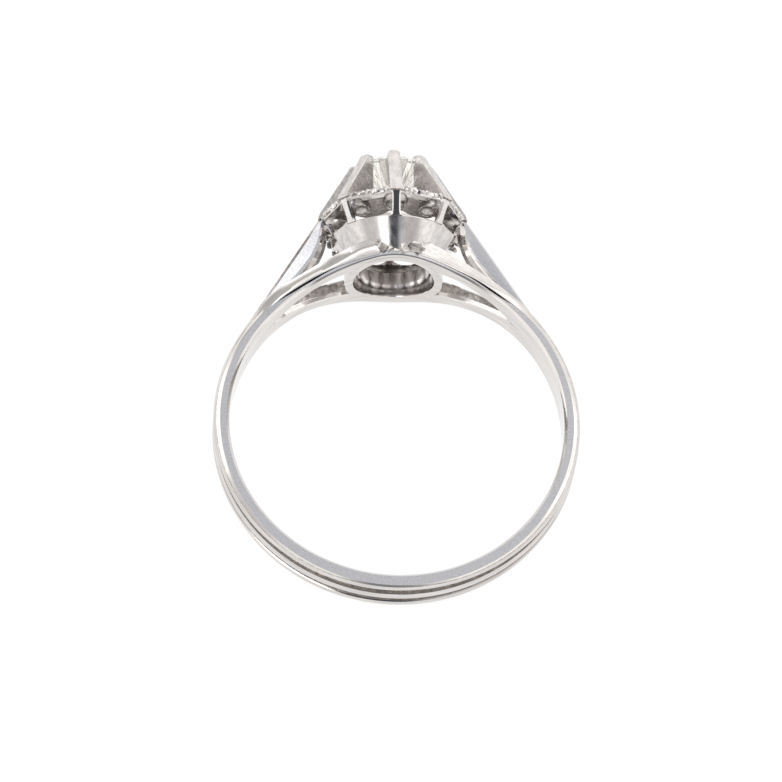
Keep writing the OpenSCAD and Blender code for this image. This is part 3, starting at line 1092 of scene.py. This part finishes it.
def make_camera():
    """Looks at the finger hole from the photograph's side: a little from the left and from below its axis."""
    lean, turn, roll = math.radians(24.82), math.radians(3.64), math.radians(-1.01)
    distance, pixels_a_metre = 0.3, 19130.0
    picture = 782
    hole_x, hole_y = 396.05, 429.0
    back = Vector((-math.sin(turn) * math.cos(lean), -math.cos(turn) * math.cos(lean), -math.sin(lean)))
    right = Vector((math.cos(turn), -math.sin(turn), 0))
    up = back.cross(right)
    right, up = (
        math.cos(roll) * right + math.sin(roll) * up,
        math.cos(roll) * up - math.sin(roll) * right,
    )
    data = bpy.data.cameras.new("camera")
    data.sensor_width = 36
    data.lens = distance * pixels_a_metre / picture * data.sensor_width
    data.shift_x = (picture / 2 - hole_x) / picture
    data.shift_y = (hole_y - picture / 2) / picture
    data.clip_start = 0.01
    data.clip_end = 20
    camera = bpy.data.objects.new("camera", data)
    bpy.context.scene.collection.objects.link(camera)
    axes = Matrix((right, up, back)).transposed().to_4x4()
    camera.matrix_world = LYING @ Matrix.Translation(back * distance) @ axes
    bpy.context.scene.camera = camera


def make_floor():
    """A pale floor that the ring lies on, bright enough in itself to come out white."""
    bm = bmesh.new()
    bmesh.ops.create_grid(bm, x_segments=1, y_segments=1, size=3.0)
    bmesh.ops.translate(bm, verts=bm.verts, vec=(0, 0, CAD_BOX[0].z))
    floor = finish_mesh(bm, "floor", laid=False)
    material, tree = start_material("Pale floor")
    colour = bpy.context.scene.ring_colours.floor
    glow = add_node(tree, "ShaderNodeEmission", {"Color": colour, "Strength": 0.92})
    paint = add_node(tree, "ShaderNodeBsdfDiffuse", {"Color": linear("616161")})
    both = add_node(tree, "ShaderNodeAddShader", {0: glow.outputs[0], 1: paint.outputs[0]})
    add_node(tree, "ShaderNodeOutputMaterial", {"Surface": both.outputs[0]})
    floor.data.materials.append(material)


def between(tree, value, low, high, soft):
    """A mask that is 1 between two limits of a value, with soft edges. No direction passes -1 or 1."""
    rise = add_node(
        tree, "ShaderNodeMapRange",
        {"Value": value, "From Min": low - soft, "From Max": low + soft},
        interpolation_type="SMOOTHSTEP",
    )
    fall = add_node(
        tree, "ShaderNodeMapRange",
        {"Value": value, "From Min": high - soft, "From Max": high + soft, "To Min": 1.0, "To Max": 0.0},
        interpolation_type="SMOOTHSTEP",
    )
    return add_node(
        tree, "ShaderNodeMath", {0: rise.outputs[0], 1: fall.outputs[0]}, operation="MULTIPLY"
    ).outputs[0]


def make_light():
    """A studio tent: white walls with soft patches, a greyer roof, and a gap where the camera looks in."""
    world = bpy.data.worlds.new("studio")
    bpy.context.scene.world = world
    world.use_nodes = True
    tree = world.node_tree
    tree.nodes.clear()
    ray = add_node(tree, "ShaderNodeTexCoord").outputs["Generated"]
    x, y, z = add_node(tree, "ShaderNodeSeparateXYZ", {"Vector": ray}).outputs

    def painted(base, mask, level, tint=PLAIN):
        colour = [level * c for c in tint] + [1.0]
        return add_node(
            tree, "ShaderNodeMix", {"Factor": mask, 6: base, 7: colour}, data_type="RGBA"
        ).outputs[2]

    def round_patch(turn, height, inner, outer):
        a, e = math.radians(turn), math.radians(height)
        towards = (math.sin(a) * math.cos(e), math.cos(a) * math.cos(e), math.sin(e))
        near = add_node(tree, "ShaderNodeVectorMath", {0: ray, 1: towards}, operation="DOT_PRODUCT")
        edge, core = math.cos(math.radians(outer)), math.cos(math.radians(inner))
        return add_node(
            tree, "ShaderNodeMapRange", {"Value": near.outputs["Value"], "From Min": edge, "From Max": core},
            interpolation_type="SMOOTHSTEP",
        ).outputs[0]

    def strip(across, across_limits, y_limits):
        """A mask between two limits across the strip and two along Y, each pair with its edges' softness."""
        sides, ends = between(tree, across, *across_limits), between(tree, y, *y_limits)
        return add_node(tree, "ShaderNodeMath", {0: sides, 1: ends}, operation="MULTIPLY").outputs[0]

    walls, roof = (1.22, 1.21, 1.19, 1), between(tree, z, 0.80, 2.0, 0.12)
    light = painted(walls, roof, 0.74, (0.97, 0.99, 1.03))
    for turn, height, inner, outer, level, tint in PATCHES:
        light = painted(light, round_patch(turn, height, inner, outer), level, tint)
    from_gap = add_node(tree, "ShaderNodeMath", {0: x, 1: -0.03}, operation="SUBTRACT").outputs[0]
    off_gap = add_node(tree, "ShaderNodeMath", {0: from_gap}, operation="ABSOLUTE").outputs[0]
    gap = strip(off_gap, (-1.0, 0.22, 0.14), (-1.2, -0.12, 0.10))
    streak = strip(x, (-0.50, -0.22, 0.05), (-0.55, -0.12, 0.08))
    core = strip(off_gap, (-1.0, 0.15, 0.04), (-0.6, 0.16, 0.06))
    light = painted(light, gap, 0.28, (0.98, 0.98, 1.03))
    light = painted(light, streak, 2.6)
    light = painted(light, core, 0.08, (0.90, 0.98, 1.25))
    camera_ray = add_node(tree, "ShaderNodeLightPath").outputs["Is Camera Ray"]
    light = painted(light, camera_ray, 1.0)
    background = add_node(tree, "ShaderNodeBackground", {"Color": light, "Strength": 1.0})
    add_node(tree, "ShaderNodeOutputWorld", {"Surface": background.outputs[0]})


class RING_OT_stage(Operator):
    """The floor, the light and the camera"""

    bl_idname = "ring.stage"
    bl_label = "Stage"

    def execute(self, context):
        make_floor()
        make_light()
        make_camera()
        context.scene.view_settings.view_transform = "Standard"
        return {"FINISHED"}


STEPS = (
    RING_OT_shank, RING_OT_leaves, RING_OT_gallery, RING_OT_collar, RING_OT_plate, RING_OT_struts,
    RING_OT_beads, RING_OT_cuts, RING_OT_claws, RING_OT_lobes, RING_OT_stone, RING_OT_stage,
)


class RING_PT_panel(Panel):
    """Builds the ring piece by piece"""

    bl_label = "Ring"
    bl_idname = "RING_PT_panel"
    bl_space_type = "VIEW_3D"
    bl_region_type = "UI"
    bl_category = "Ring"

    def draw(self, context):
        for step in STEPS:
            self.layout.operator(step.bl_idname)
        groups = (("Sizes in millimetres", "ring_sizes"), ("Colours", "ring_colours"))
        for heading, group in groups:
            self.layout.label(text=heading)
            values = getattr(context.scene, group)
            for name in values.bl_rna.properties.keys():
                if name not in ("name", "rna_type"):
                    self.layout.prop(values, name)


CLASSES = (RingSizes, RingColours) + STEPS + (RING_PT_panel,)


def register():
    """Makes the classes and the sizes and colours of the scene known to Blender."""
    for item in CLASSES:
        bpy.utils.register_class(item)
    bpy.types.Scene.ring_sizes = PointerProperty(type=RingSizes)
    bpy.types.Scene.ring_colours = PointerProperty(type=RingColours)


def unregister():
    """Takes them away again."""
    del bpy.types.Scene.ring_colours
    del bpy.types.Scene.ring_sizes
    for item in reversed(CLASSES):
        bpy.utils.unregister_class(item)


def main():
    """Builds the ring."""
    register()
    bpy.ops.ring.shank()
    bpy.ops.ring.leaves()
    bpy.ops.ring.gallery()
    bpy.ops.ring.collar()
    bpy.ops.ring.plate()
    bpy.ops.ring.struts()
    bpy.ops.ring.beads()
    bpy.ops.ring.cuts()
    bpy.ops.ring.claws()
    bpy.ops.ring.lobes()
    bpy.ops.ring.stone()
    bpy.ops.ring.stage()


if __name__ == "__main__":
    main()
